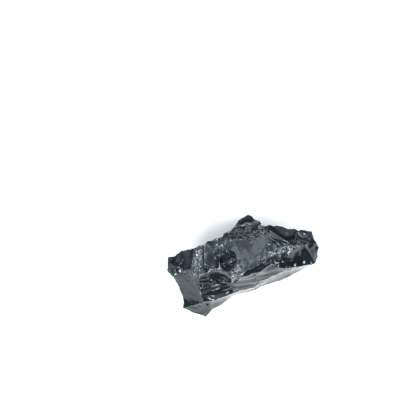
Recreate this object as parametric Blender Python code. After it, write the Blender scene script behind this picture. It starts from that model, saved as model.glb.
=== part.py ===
"""A rough chunk of obsidian, 76 mm long, lying on its flattest fracture face.

The glass broke from a larger mass and was chipped on every side. The model follows that: a block with
flat sides is the convex hull of named corners, and every flake that left it is one scoop cut out of the
block. A scoop passes through the corners of its face, is hollow between them, and carries rings around
the point where the blow fell.
Run it with: blender --background --python part.py
"""

import math
from typing import NamedTuple

import bmesh
import bpy
from mathutils import Matrix, Vector, noise

# Driving dimensions, in metres. Every other length follows LENGTH.
LENGTH = 0.076
MM = LENGTH / 76.0

GRID_CELL = 1.9  # width of a scoop's mesh cell, in millimetres
BITE = 0.15  # how far a scoop cuts below the corners of its face
CORNER_REACH = 0.7  # how near to a corner the scoop keeps to that corner's height
BLOW_DISTANCE = 1.1  # how far from the face's middle the blow fell, as a share of its half length
RING_WOBBLE = 0.5  # how far the rings stray, as a share of their spacing
RING_WOBBLE_SIZE = 6.7  # over how many millimetres they stray
WAVES = 0.3  # height of the slow waves on a scar
WAVE_SIZE = 11.0  # and their width
CHIP_WAVES = 0.12  # unevenness of a chip's ball, as a share of its radius
CHIP_WAVE_SIZE = 2.5  # and its width
MARGIN = 3.8  # how far a scoop runs on past the corners of its face
LIP_SLOPE = 1.2  # how steeply it rises there
STEP_SLOPE = 1.6  # how steeply it rises where the crack ended in a step
SHARP_ANGLE = 22.0  # edges sharper than this many degrees are shaded as edges
LID_HEIGHT = 30.0  # how far a cutter stands out of the stone
GLASS_COLOUR = (0.012, 0.018, 0.021)
GLASS_ROUGHNESS = 0.15
MIDDLE = (0.0, 0.0, 14.0)  # a point deep inside the stone

# Corners of the faces, in millimetres: x to the right end, y to the peak at the back, z up.
CORNERS = {
    # sharp rim, clockwise from the foot
    "foot": (-18.8, -26.3, 4.0),
    "foot_side": (-24.6, -24.4, 5.0),
    "foot_left": (-30.2, -21.8, 7.0),
    "left_notch": (-30.6, -15.0, 10.5),
    "left_low": (-33.6, -7.8, 15.0),
    "crest_left": (-34.8, -5.1, 17.8),
    "left_tip": (-38.2, -2.0, 18.5),
    "left_end": (-38.2, 2.0, 18.5),
    "left_far": (-37.5, 5.1, 19.0),
    "left_back": (-31.5, 7.9, 22.0),
    "notch_back": (-15.5, 13.6, 27.5),
    "rim_back": (-7.5, 17.9, 25.8),
    "peak_left": (-1.6, 24.1, 20.8),
    "peak": (3.0, 26.3, 19.2),
    "peak_right": (7.0, 23.8, 19.6),
    "corner_back": (9.6, 21.2, 19.0),
    "ledge_back": (23.5, 20.4, 19.5),
    "knob_back": (34.5, 17.6, 17.5),
    "knob_end": (38.2, 10.3, 16.0),
    "knob_low": (37.7, 5.3, 15.0),
    "knob_front": (36.6, 1.7, 10.5),
    "band_right": (22.5, -6.2, 7.0),
    "band_middle": (7.0, -12.2, 6.0),
    "band_left": (-3.6, -14.9, 5.5),
    "foot_right": (-11.5, -20.4, 5.0),
    # crest between the upper faces and the front
    "bevel_left": (-33.5, -0.8, 23.4),
    "crest_corner": (-21.8, -5.3, 26.0),
    "bevel_right": (-21.8, -1.2, 29.7),
    "crest_bend": (-13.5, -1.0, 32.0),
    "crest_turn": (-11.8, 2.3, 32.6),
    "scoop_right": (-6.0, -5.8, 28.5),
    "crest_fork": (-0.5, -2.8, 32.0),
    "crest_middle": (9.5, 2.8, 33.4),
    "crest_right": (16.5, 6.3, 33.0),
    "crest_far": (23.5, 8.8, 30.5),
    "crest_end": (30.0, 10.8, 25.0),
    # lower edge of the front faces
    "ridge_low": (-19.8, -18.3, 15.0),
    "ridge_bend": (-14.0, -17.3, 15.3),
    "ridge_middle": (-5.5, -13.9, 15.8),
    "ridge_right": (6.0, -10.6, 15.8),
    # ridges and hollows between them, from the left end to the right
    "cave_left": (-17.0, -5.0, 22.5),
    "cave_back": (-11.5, -1.9, 24.5),
    "cave_right": (-6.5, -5.5, 24.5),
    "cave_front": (-11.5, -7.8, 20.5),
    "lip_left": (0.0, -5.0, 29.8),
    "lip_right": (8.0, -2.5, 30.6),
    "band_top_left": (7.0, -8.0, 20.5),
    "band_top_middle": (18.5, -3.3, 21.5),
    "shelf_left": (13.5, 1.5, 31.0),
    "shelf_middle": (20.0, -0.8, 26.5),
    "shelf_right": (36.0, 1.3, 17.5),
    # upper faces
    "left_step_front": (-23.2, -1.0, 27.9),
    "left_step_back": (-23.6, 9.8, 25.3),
    "strip_back": (-22.0, 10.2, 26.9),
    "strip_front": (-19.7, -1.3, 30.0),
    "strip_top": (-19.5, 11.3, 27.3),
    "upper_front": (-19.0, -1.6, 31.4),
    "upper_back": (-18.7, 11.8, 28.7),
    "upper_right": (-11.0, 14.0, 29.3),
    "top_left": (-9.5, 3.0, 32.4),
    "top_back_left": (-10.0, 13.5, 29.5),
    "top_back": (1.0, 15.0, 31.0),
    "top_back_right": (13.0, 14.8, 31.0),
    "pit_left": (-11.4, 5.6, 29.8),
    "pit_front": (-7.0, 1.6, 27.3),
    "pit_right": (-3.8, 5.4, 29.8),
    "pit_back": (-8.0, 9.8, 31.6),
    "dent_left": (11.6, 9.6, 31.6),
    "dent_front": (14.4, 7.2, 31.6),
    "dent_right": (16.8, 9.8, 30.6),
    "dent_back": (14.0, 12.4, 30.6),
    "tip_left": (-3.6, 21.0, 23.2),
    "tip_right": (6.8, 21.6, 22.8),
    "step_far": (22.5, 12.6, 29.0),
    "ledge_inner": (22.5, 12.6, 22.0),
    "ledge_low": (14.5, 16.4, 21.2),
    "ledge_right": (25.8, 13.4, 21.8),
    "ledge_out": (26.4, 18.8, 19.0),
    "knob_top": (33.2, 8.9, 21.0),
    # ridge across the back, and the lower edge of its faces
    "waist_left": (-27.0, 6.5, 15.0),
    "waist_notch": (-13.0, 13.4, 17.0),
    "waist_peak": (0.5, 20.5, 12.0),
    "waist_right": (14.0, 19.8, 13.5),
    "waist_knob": (29.5, 15.2, 11.0),
    "back_low_left": (-26.0, 3.5, 9.0),
    "back_split": (-15.5, 10.6, 8.0),
    "back_low": (0.0, 17.0, 5.0),
    "back_low_right": (12.0, 18.0, 11.0),
    "back_low_far": (30.0, 11.0, 4.5),
    # flat underside that the chunk lies on
    "base_foot_left": (-25.0, -17.0, 0.0),
    "base_foot": (-15.0, -20.0, 0.0),
    "base_front": (5.0, -9.5, 0.0),
    "base_right_front": (24.0, -2.5, 0.0),
    "base_right": (28.5, 5.0, 0.0),
    "base_back_right": (22.0, 10.0, 0.0),
    "base_back": (4.0, 14.0, 0.0),
    "base_back_left": (-14.0, 8.5, 0.0),
    "base_left": (-27.5, -2.0, 0.0),
}


class Scar(NamedTuple):
    """Where one flake left the stone. Lengths are in millimetres."""

    name: str
    corners: str  # names of the corners around its face
    travel: tuple = (0, 0, -1)  # the way the crack ran
    hollow: tuple = (0.8, 0.8)  # depth between the corners, along the travel and across it
    rings: tuple = (5.0, 0.1)  # spacing of the rings around the blow, and their height
    step: float = LIP_SLOPE  # how steeply the scoop rises where the crack ended
    side: float = LIP_SLOPE  # how steeply it rises everywhere else
    round: bool = False  # a round hollow inside a larger face


SCARS = (
    # the front, from the left end to the right
    Scar("left_face", "crest_left crest_corner ridge_low foot_left left_notch left_low",
         (0, 0, -1), (1.0, 0.6), (5.0, 0.02)),
    Scar("foot_top", "ridge_low foot_left foot_side foot", (0.3, -1, 0), (0.5, 0.5), (4.0, 0.1)),
    Scar("front_scoop", "crest_corner crest_bend scoop_right ridge_middle ridge_bend ridge_low",
         (0.25, -1, -0.6), (2.8, 2.0), (3.2, 0.2)),
    Scar("cave", "cave_left cave_back cave_right cave_front", (0, 1, 0.3), (0.6, 0.6), (3.2, 0.1),
         4.5, 2.0, True),
    Scar("front_middle", "scoop_right lip_left lip_right band_top_left ridge_right ridge_middle",
         (0, 0, -1), (0.6, 0.6)),
    Scar("front_wedge", "lip_right shelf_left shelf_middle band_top_middle band_top_left",
         (0, 0, -1), (0.5, 0.4)),
    Scar("crest_lip", "crest_fork crest_middle shelf_left lip_right lip_left", (1, 0, 0), (0.4, 0.4)),
    Scar("front_right", "crest_middle crest_right crest_far crest_end shelf_right shelf_middle shelf_left",
         (1, 0, -0.3), (0.4, 1.0)),
    Scar("left_band", "ridge_low ridge_bend ridge_middle ridge_right band_middle band_left foot_right foot",
         (1, 0.5, 0), (0.6, 0.3)),
    Scar("right_band",
         "band_top_left band_top_middle shelf_right knob_front band_right band_middle ridge_right",
         (1, 0.4, 0), (0.3, 0.8)),
    # upper faces
    Scar("left_bevel", "crest_left crest_corner bevel_right bevel_left", (1, 0, 0), (0.3, 0.2)),
    Scar("left_top", "bevel_left left_step_front left_step_back left_back left_far",
         (1, 0, 0.3), (0.9, 0.7), (4.5, 0.1), STEP_SLOPE),
    Scar("strip", "bevel_right strip_front strip_top strip_back", (1, 0, 0), (0.3, 0.2), (5.0, 0.0),
         STEP_SLOPE),
    Scar("upper_left", "upper_front crest_bend crest_turn upper_right notch_back upper_back",
         (1, 0.2, 0), (0.5, 0.5)),
    Scar("top_face", "crest_fork crest_right top_back_right top_back top_back_left top_left",
         (-1, -0.6, 0), (0.6, 0.7)),
    Scar("pit", "pit_left pit_front pit_right pit_back", (0.2, -1, 0), (0.3, 0.3), (5.0, 0.0),
         4.5, 4.0, True),
    Scar("dent", "dent_left dent_front dent_right dent_back", (1, -0.3, 0), (0.3, 0.3), (5.0, 0.0),
         2.0, 1.5, True),
    Scar("peak_face", "top_back_left top_back_right tip_right tip_left rim_back",
         (0, 1, 0), (0.8, 0.6), (3.4, 0.15)),
    Scar("peak_tip", "tip_left tip_right peak_right peak peak_left", (0, 1, 0), (0.4, 0.4), (3.4, 0.1)),
    Scar("ledge", "corner_back ledge_low ledge_inner ledge_right ledge_out ledge_back", (-0.56, -0.83, 0),
         (0.6, 0.8), (4.0, 0.12), 5.0),
    Scar("knob_top", "crest_end knob_top knob_end knob_back ledge_out ledge_right", (1, 0, 0), (0.3, 0.3)),
    Scar("knob_side", "crest_end knob_top knob_end knob_low shelf_right", (0, -1, 0), (0.2, 0.2)),
)

# The back and the underside. The exact solver fails on the slivers that these leave, so the manifold
# solver cuts them and the chips.
BACK_SCARS = (
    # the back, from the left end to the right
    Scar("back_left", "left_back notch_back waist_notch waist_left", (1, 0.3, 0), (0.9, 0.7)),
    Scar("back_left_low", "waist_left waist_notch back_split back_low_left", (0.4, 0, -1), (0.6, 0.6)),
    Scar("back_centre", "notch_back rim_back peak_left waist_peak waist_notch", (-0.4, 0, -1), (1.3, 1.0)),
    Scar("back_centre_low", "waist_notch waist_peak back_low back_split", (1, 0, -0.4), (0.7, 0.8)),
    Scar("back_middle", "peak_left peak corner_back back_low_right waist_peak", (0, 0, -1), (0.8, 0.5)),
    Scar("back_middle_low", "waist_peak back_low_right back_low", (0.3, 0, -1), (0.5, 0.5)),
    Scar("back_right", "corner_back ledge_back ledge_out knob_back waist_knob waist_right back_low_right",
         (1, 0, -0.2), (0.4, 0.8)),
    Scar("back_right_low", "waist_right waist_knob back_low_far back_low_right", (1, 0, -0.4), (0.7, 0.6)),
    # underneath, from the left end to the right
    Scar("left_side", "foot_left left_notch left_low base_left base_foot_left", (0, -1, 0), (1.6, 1.0)),
    Scar("left_under", "left_low crest_left left_tip left_end back_low_left base_left",
         (0.1, 1, -0.3), (0.8, 0.8)),
    Scar("left_back", "left_end left_far left_back back_low_left", (0, 1, -0.4), (0.4, 0.4)),
    Scar("under_back_left", "back_low_left back_split back_low base_back base_back_left base_left",
         (-1, 0, 0), (0.8, 1.2)),
    Scar("under_back", "back_low back_low_right back_low_far base_back_right base_back",
         (0, 0, -1), (1.2, 0.6)),
    Scar("under_right", "knob_back knob_end knob_low knob_front base_right base_back_right back_low_far",
         (0, -1, 0), (1.0, 1.0)),
    Scar("under_front", "knob_front band_right band_middle base_front base_right_front base_right",
         (1, 0.4, 0), (0.8, 0.8)),
    Scar("under_foot", "band_middle band_left foot_right foot base_foot base_front",
         (1, 0.7, 0), (1.8, 0.5)),
    Scar("under_left", "foot foot_side foot_left base_foot_left base_foot", (1, -0.4, 0), (0.5, 0.3)),
)


class Chip(NamedTuple):
    """A small hollow flake off an edge. Lengths are in millimetres."""

    edge: str  # names of the two corners that the edge runs between
    share: float  # how far along it the chip is
    radius: float
    depth: float


CHIPS = (
    # along the crest and the ridges of the front
    Chip("crest_left crest_corner", 0.3, 9.0, 0.4),
    Chip("crest_corner crest_bend", 0.5, 8.0, 0.4),
    Chip("crest_fork crest_middle", 0.35, 8.0, 0.5),
    Chip("crest_middle crest_right", 0.7, 7.0, 0.5),
    Chip("crest_far crest_end", 0.3, 7.0, 0.5),
    Chip("ridge_low ridge_bend", 0.5, 9.0, 0.3),
    Chip("ridge_middle ridge_right", 0.4, 9.0, 0.3),
    Chip("shelf_left shelf_middle", 0.3, 12.0, 0.4),
    # along the crumbled band behind the crest
    Chip("crest_end ledge_right", 0.5, 5.0, 0.5),
    Chip("crest_far step_far", 0.5, 5.0, 0.5),
    Chip("crest_right step_far", 0.5, 7.0, 0.5),
    # along the sharp rim
    Chip("foot_side foot_left", 0.5, 9.0, 0.5),
    Chip("left_tip left_end", 0.4, 8.0, 0.4),
    Chip("left_far left_back", 0.6, 9.0, 0.4),
    Chip("ledge_back corner_back", 0.4, 9.0, 0.4),
    Chip("knob_back knob_end", 0.5, 9.0, 0.4),
    Chip("knob_front band_right", 0.35, 12.0, 0.4),
    Chip("foot_right band_left", 0.5, 12.0, 0.4),
    # along the ridge and the lower edges of the back
    Chip("waist_notch waist_peak", 0.4, 11.0, 0.7),
    Chip("waist_right waist_knob", 0.4, 11.0, 0.6),
    Chip("back_low back_low_right", 0.5, 12.0, 0.8),
    Chip("back_low_left base_left", 0.5, 10.0, 0.8),
    Chip("back_low_far base_right", 0.5, 10.0, 0.7),
)


def clear_scene():
    for thing in list(bpy.data.objects):
        bpy.data.objects.remove(thing)


def link(name, bm):
    """A mesh object in the scene, made from bm."""
    mesh = bpy.data.meshes.new(name)
    bm.to_mesh(mesh)
    bm.free()
    thing = bpy.data.objects.new(name, mesh)
    bpy.context.scene.collection.objects.link(thing)
    return thing


def make_block(name):
    """The block that the flakes are struck from: the convex hull of the corners."""
    bm = bmesh.new()
    for corner in CORNERS.values():
        bm.verts.new(Vector(corner) * MM)
    hull = bmesh.ops.convex_hull(bm, input=bm.verts)
    spare = [v for v in hull["geom_interior"] if isinstance(v, bmesh.types.BMVert)]
    bmesh.ops.delete(bm, geom=spare, context="VERTS")
    bmesh.ops.recalc_face_normals(bm, faces=bm.faces)
    return link(name, bm)


def outward_normal(points):
    """Normal of the plane that fits a ring of points, pointing away from the middle of the stone."""
    normal = Vector()
    for here, after in zip(points, points[1:] + points[:1]):
        normal += here.cross(after)
    normal.normalize()
    centre = sum(points, Vector()) / len(points)
    return normal if normal.dot(centre - Vector(MIDDLE)) > 0 else -normal


class Scoop:
    """The surface of one scar in its own frame: x along the crack's travel, z out of the stone."""

    def __init__(self, scar):
        self.scar = scar
        points = [Vector(CORNERS[name]) for name in scar.corners.split()]
        centre = sum(points, Vector()) / len(points)
        out = outward_normal(points)
        along = Vector(scar.travel)
        along = (along - out * along.dot(out)).normalized()
        across = out.cross(along)
        lengths = [(p - centre).dot(along) for p in points]
        widths = [(p - centre).dot(across) for p in points]
        centre += along * (max(lengths) + min(lengths)) / 2 + across * (max(widths) + min(widths)) / 2
        self.half_length = (max(lengths) - min(lengths)) / 2
        self.half_width = (max(widths) - min(widths)) / 2
        turn = Matrix((along, across, out)).transposed().to_4x4()
        self.frame = Matrix.Translation(centre * MM) @ turn
        corners = [turn.to_3x3().transposed() @ (p - centre) for p in points]
        self.misses = [(c.x, c.y, c.z - self.bowl(c.x, c.y)) for c in corners]

    def bowl(self, x, y):
        """Depth of a plain bowl at x, y."""
        along, across = self.scar.hollow
        return along * ((x / self.half_length) ** 2 - 1) + across * ((y / self.half_width) ** 2 - 1)

    def warp(self, x, y):
        """What the bowl is bent by, so that it passes through every corner of its face."""
        total = 0.0
        bend = 0.0
        for corner_x, corner_y, miss in self.misses:
            weight = 1.0 / ((x - corner_x) ** 2 + (y - corner_y) ** 2 + CORNER_REACH ** 2)
            total += weight
            bend += weight * miss
        return bend / total

    def ripples(self, x, y):
        """Rings around the blow, and the slow waves of the fracture."""
        spacing, height = self.scar.rings
        from_blow = math.hypot(x + self.half_length * BLOW_DISTANCE, y)
        wobble = noise.noise(Vector((x, y, self.half_width)) / RING_WOBBLE_SIZE)
        rings = height * math.sin(2 * math.pi * (from_blow / spacing + wobble * RING_WOBBLE))
        return rings + WAVES * noise.noise(Vector((x, y, self.half_length)) / WAVE_SIZE)

    def lip(self, x, y):
        """How far the scoop has risen outside its face."""
        step, side = self.scar.step, self.scar.side
        if self.scar.round:
            share = math.hypot(x / self.half_length, y / self.half_width)
            past = max(0.0, share - 1.0) * min(self.half_length, self.half_width)
            towards_end = max(0.0, x / self.half_length) / max(share, 1.0)
            return past * (side + (step - side) * towards_end)
        past_end = max(0.0, x - self.half_length) * step
        past_start = max(0.0, -self.half_length - x) * side
        past_side = max(0.0, abs(y) - self.half_width) * side
        return math.hypot(past_end + past_start, past_side)

    def height(self, x, y):
        return self.bowl(x, y) + self.warp(x, y) + self.ripples(x, y) + self.lip(x, y) - BITE


def make_cutter(scar):
    """A closed solid whose floor is the scar and whose lid is clear of the stone."""
    scoop = Scoop(scar)
    reach, spread = scoop.half_length + MARGIN, scoop.half_width + MARGIN
    bm = bmesh.new()
    columns = round(2 * reach / GRID_CELL)
    rows = round(2 * spread / GRID_CELL)
    bmesh.ops.create_grid(bm, x_segments=columns, y_segments=rows, size=1.0)
    for v in bm.verts:
        x, y = v.co.x * reach, v.co.y * spread
        v.co = Vector((x, y, scoop.height(x, y))) * MM
    rim = [e for e in bm.edges if e.is_boundary]
    walls = bmesh.ops.extrude_edge_only(bm, edges=rim)
    for v in walls["geom"]:
        if isinstance(v, bmesh.types.BMVert):
            v.co.z = LID_HEIGHT * MM
    bmesh.ops.holes_fill(bm, edges=[e for e in bm.edges if e.is_boundary])
    bmesh.ops.recalc_face_normals(bm, faces=bm.faces)
    bmesh.ops.transform(bm, matrix=scoop.frame, verts=bm.verts)
    return as_cutter("scar_" + scar.name, bm)


def make_chip(number, chip):
    """A rough ball that bites into an edge from outside."""
    start, end = (Vector(CORNERS[name]) for name in chip.edge.split())
    place = start.lerp(end, chip.share)
    along = (end - start).normalized()
    out = place - Vector(MIDDLE)
    out = (out - along * out.dot(along)).normalized()
    centre = place + out * (chip.radius - chip.depth)
    bm = bmesh.new()
    bmesh.ops.create_icosphere(bm, subdivisions=3, radius=chip.radius)
    for v in bm.verts:
        rough = 1 + CHIP_WAVES * noise.noise(v.co / CHIP_WAVE_SIZE + place)
        v.co = (centre + v.co * rough) * MM
    return as_cutter(f"chip_{number}", bm)


def as_cutter(name, bm):
    cutter = link(name, bm)
    cutter.hide_render = True
    cutter.display_type = "WIRE"
    return cutter


def strike(block, cutter, solver):
    """Takes the flake off the block."""
    cut = block.modifiers.new(cutter.name, "BOOLEAN")
    cut.operation = "DIFFERENCE"
    cut.solver = solver
    cut.object = cutter


def largest_body(bm):
    """Deletes every loose splinter, so that only the chunk itself is left."""
    bodies = []
    unseen = set(bm.verts)
    while unseen:
        body = set()
        front = [unseen.pop()]
        while front:
            v = front.pop()
            body.add(v)
            near = {e.other_vert(v) for e in v.link_edges} & unseen
            unseen -= near
            front.extend(near)
        bodies.append(body)
    bodies.sort(key=len)
    splinters = [v for body in bodies[:-1] for v in body]
    bmesh.ops.delete(bm, geom=splinters, context="VERTS")


def fit_to_length(bm):
    """Brings the chunk to its stated length and puts the origin under the middle of its outer box."""
    low = Vector([min(v.co[axis] for v in bm.verts) for axis in range(3)])
    high = Vector([max(v.co[axis] for v in bm.verts) for axis in range(3)])
    middle = (low + high) / 2
    middle.z = low.z
    bmesh.ops.translate(bm, verts=bm.verts, vec=-middle)
    bmesh.ops.scale(bm, verts=bm.verts, vec=(LENGTH / (high.x - low.x),) * 3)


def settle(block):
    """Makes the cuts final, so that the chunk is one plain mesh, and takes the cutters away."""
    bm = bmesh.new()
    bm.from_object(block, bpy.context.evaluated_depsgraph_get())
    cutters = [cut.object for cut in block.modifiers]
    block.modifiers.clear()
    for cutter in cutters:
        bpy.data.objects.remove(cutter)
    largest_body(bm)
    fit_to_length(bm)
    bm.to_mesh(block.data)
    bm.free()
    block.data.shade_smooth()
    block.data.set_sharp_from_angle(angle=math.radians(SHARP_ANGLE))


def glass(name):
    """Black volcanic glass."""
    material = bpy.data.materials.new(name)
    material.use_nodes = True
    shader = material.node_tree.nodes["Principled BSDF"]
    shader.inputs["Base Color"].default_value = (*GLASS_COLOUR, 1.0)
    shader.inputs["Roughness"].default_value = GLASS_ROUGHNESS
    shader.inputs["Metallic"].default_value = 0.0
    return material


def main():
    clear_scene()
    block = make_block("obsidian_chunk")
    for scar in SCARS:
        strike(block, make_cutter(scar), "EXACT")
    for scar in BACK_SCARS:
        strike(block, make_cutter(scar), "MANIFOLD")
    for number, chip in enumerate(CHIPS):
        strike(block, make_chip(number, chip), "MANIFOLD")
    settle(block)
    block.data.materials.append(glass("obsidian"))


main()
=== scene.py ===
"""Looks of a rough chunk of obsidian, 76 mm long, lying on its flattest fracture face.

The chunk is struck again from the same named corners as its CAD solid, with finer scoops. Then its ridges
are nibbled in places and its crumbled patches broken up, as glass that has lain among other stones is.
"""

import math
import random
from typing import NamedTuple

import bmesh
import bpy
from mathutils import Euler, Matrix, Vector, noise
from mathutils.bvhtree import BVHTree
from mathutils.geometry import intersect_point_line


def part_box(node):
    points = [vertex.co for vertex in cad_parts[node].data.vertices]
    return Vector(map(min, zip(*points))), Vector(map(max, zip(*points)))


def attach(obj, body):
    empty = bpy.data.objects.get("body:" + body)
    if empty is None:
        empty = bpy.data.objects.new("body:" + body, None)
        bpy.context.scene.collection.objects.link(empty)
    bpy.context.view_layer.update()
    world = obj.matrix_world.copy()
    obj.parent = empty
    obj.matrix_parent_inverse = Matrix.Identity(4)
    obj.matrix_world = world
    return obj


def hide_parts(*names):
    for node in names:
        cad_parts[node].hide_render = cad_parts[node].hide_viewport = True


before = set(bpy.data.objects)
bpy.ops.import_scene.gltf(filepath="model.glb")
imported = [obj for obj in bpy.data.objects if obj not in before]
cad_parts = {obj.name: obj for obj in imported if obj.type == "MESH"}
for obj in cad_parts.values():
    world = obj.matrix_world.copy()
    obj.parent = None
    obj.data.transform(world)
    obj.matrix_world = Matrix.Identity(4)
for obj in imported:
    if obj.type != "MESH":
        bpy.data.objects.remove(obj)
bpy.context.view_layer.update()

CAD_LOW, CAD_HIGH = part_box("obsidian_chunk")
CHUNK_LENGTH = 76.0  # the solid's length, in millimetres
MM = (CAD_HIGH.x - CAD_LOW.x) / CHUNK_LENGTH

# How the stone is struck. Lengths are in millimetres.
GRID_CELL = 0.5  # width of a scoop's mesh cell
BACK_CELL = 0.95  # the same on the back and underneath
BITE = 0.15  # how far a scoop cuts below the corners of its face
CORNER_REACH = 0.7  # how near to a corner the scoop keeps to that corner's height
BLOW_DISTANCE = 1.1  # how far from the face's middle the blow fell, as a share of its half length
RING_WOBBLE = 0.5  # how far the rings stray, as a share of their spacing
RING_WOBBLE_SIZE = 6.7  # over how many millimetres they stray
WAVES = 0.25  # height of the slow waves on a scar
WAVE_SIZE = 11.0  # and their width
RIB_HEIGHT = 0.12  # fine ribs that fan out from the blow
RIB_LENGTH = 7.0
RIB_WIDTH = 1.6
GRAIN = 0.06  # height of the fine unevenness of a scar
GRAIN_SIZE = 1.3  # and its width
CHIP_FINENESS = 4  # how many times the faces of a chip's ball are split
CHIP_WAVES = 0.12  # unevenness of a chip's ball, as a share of its radius
CHIP_WAVE_SIZE = 2.5  # and its width
CHIP_GRAIN = 0.03  # the fine part of it, as a share of its radius
MARGIN = 3.8  # how far a scoop runs on past the corners of its face
LIP_SLOPE = 1.2  # how steeply it rises there
STEP_SLOPE = 1.6  # how steeply it rises where the crack ended in a step
LID_HEIGHT = 30.0  # how far a cutter stands out of the stone
MIDDLE = (0.0, 0.0, 14.0)  # a point deep inside the stone
BOX_SHARE = 0.9995  # how much of the solid's box the chunk fills

# How the ridges were knocked and the patches crumbled.
SEED = 20  # of the lumps' places and shapes
KNOCKED_ANGLE = 46.0  # a ridge sharper than this many degrees may be knocked
RIDGE_STEP = 0.5  # distance between the spots along a ridge where it may be knocked
KNOCK_STRETCH = 9.0  # size of the stretches in which the ridges were knocked
KNOCK_LEVEL = 0.06  # and how much of the ridges they leave whole, from -0.5 for nothing to 0.5 for all
KNOCK_FROM = 17.5  # height above the ground from which the ridges were knocked
SOUND_CORNERS = ("peak", "peak_left")  # corners that weren't knocked
SOUND_REACH = 4.0  # and how far around them
LUMP_FINENESS = 2  # how many times the faces of a lump are split
LUMP_TURN = 0.5  # how far a lump is turned away from its ridge, in radians
LUMP_SQUEEZE = (0.45, 0.7)  # how slim it is
LUMP_SHAKE = 0.09  # how far its corners are moved, as a share of its radius
NIBBLE_SIZES = (0.6, 1.4)  # how much the lumps differ in size
NIBBLE_DEPTHS = (0.5, 1.6)  # and in depth
NIBBLE_LEAN = (0.1, 0.9)  # which of the two faces a lump leans to
NIBBLE_SKEW = 0.3  # and how far it is pushed aside
CRUMBLE_SPREAD = 0.5  # how far the lumps of a patch stray, as a share of its half length and half width
ABOVE = 60.0  # height from which the patches are looked down on

# What the glass does to light. Lengths are in millimetres.
SHARP_ANGLE = 18.0  # edges sharper than this many degrees are shaded as edges
RIDGE_ANGLE = 22.0  # edges sharper than this many degrees are ridges
FULL_RIDGE_ANGLE = 50.0  # and from here on they are fully pale: ground glass with a painted highlight line
PATCH_SIZE = 2.2  # length of the pale stretches of a ridge: ground glass with painted highlights
PATCH_LEVEL = 0.45  # how pale a ridge is on average
FINE_EDGE = 1.2  # corners with longer mesh edges than this are left clear
WORN_AND_LIT_REACH = 1.5  # how far beside a worn edge its ground glass and painted highlight are looked for
THIN = 4.0  # depth of glass through which light still shows
THIN_START = 0.1  # how far below the surface that depth is measured from
THICK_GLASS = ("#06090b", "#10181b")  # its darkest and its smokiest tint
# Painted light showing through the glass, mixed in where the glass is thin
THIN_GLASS_GLOW = "#1b2827"
# Pale ground glass on ridges and crumbled patches, also standing for painted highlights and sparkles
CRUSHED_AND_GLINT_GREY = "#aab2b8"
GLOSS_TINT = "#edfaff"
GLASS_IOR = 1.48  # typical of obsidian
GLASS_ROUGHNESS = (0.06, 0.2)  # from a fresh face to a hazy one
GRIT_DEPTH = 0.2  # of the fine pitting
GRIT_STRENGTH = 0.15
SMOKE_LEVELS = (0.35, 0.68)  # where in the smoke's noise the tint starts and stops changing
HAZE_LEVELS = (0.3, 0.7)  # the same for the haze
LINE_LEVELS = (0.45, 0.95)  # the same for the pale line along a ridge: ground glass with a painted highlight
SPARKLE_POWDER_LEVELS = (0.45, 0.62)  # and for the patches' specks: ground glass with painted sparkles
# The noises: width of their spots, detail and roughness. The real pits are about 0.1 mm wide and the
# real grains of powder 0.05 mm. Both are too fine to show, so they are drawn about 1 mm wide.
SMOKE = (16.67, 5.0, 0.6)
HAZE = (4.0, 6.0, 0.65)
GRIT = (1.111, 3.0, 0.5)
SPARKLE_POWDER = (0.909, 4.0, 0.7)

# The studio. Lengths are in metres, and the dome's light is linear.
FLOOR_REACH = 12.0  # half the floor's width
FLOOR_TINT = "#faf7f3"
FLOOR_ROUGHNESS = 0.8
DOME = (  # from the horizon to overhead: the sine of the height, and the light there
    (0.0, (0.20, 0.27, 0.33)),
    (0.12, (0.16, 0.22, 0.28)),
    (0.55, (0.27, 0.35, 0.42)),
    (0.8, (1.15, 1.30, 1.40)),
    (0.95, (1.75, 2.0, 2.12)),
)
WINDOWS = {  # place, width and watts of each soft light
    "window_left": ((-0.8, -0.65, 1.0), 0.4, 13.0),
    "window_right": ((1.0, -0.2, 1.0), 0.4, 9.0),
    "window_front": ((-0.2, -0.9, 1.5), 0.4, 10.0),
    "window_top": ((0.1, 0.3, 1.3), 0.6, 2.6),
}
WINDOW_AIM = (0.0, 0.0, 0.015)  # what they face

# Places of the colour sockets on a Mix node.
MIX_A = 6
MIX_B = 7
MIX_RESULT = 2

# The view, from straight above. Half a millimetre of the chunk covers one pixel.
FRAME_WIDTH = 400  # in pixels
MM_PER_PIXEL = 0.5
CHUNK_MIDDLE_IN_FRAME = (243.0, 266.5)  # in pixels from the left and from the top
CAMERA_HEIGHT = 1.1  # in metres
SENSOR_WIDTH = 36.0  # in millimetres

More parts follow.
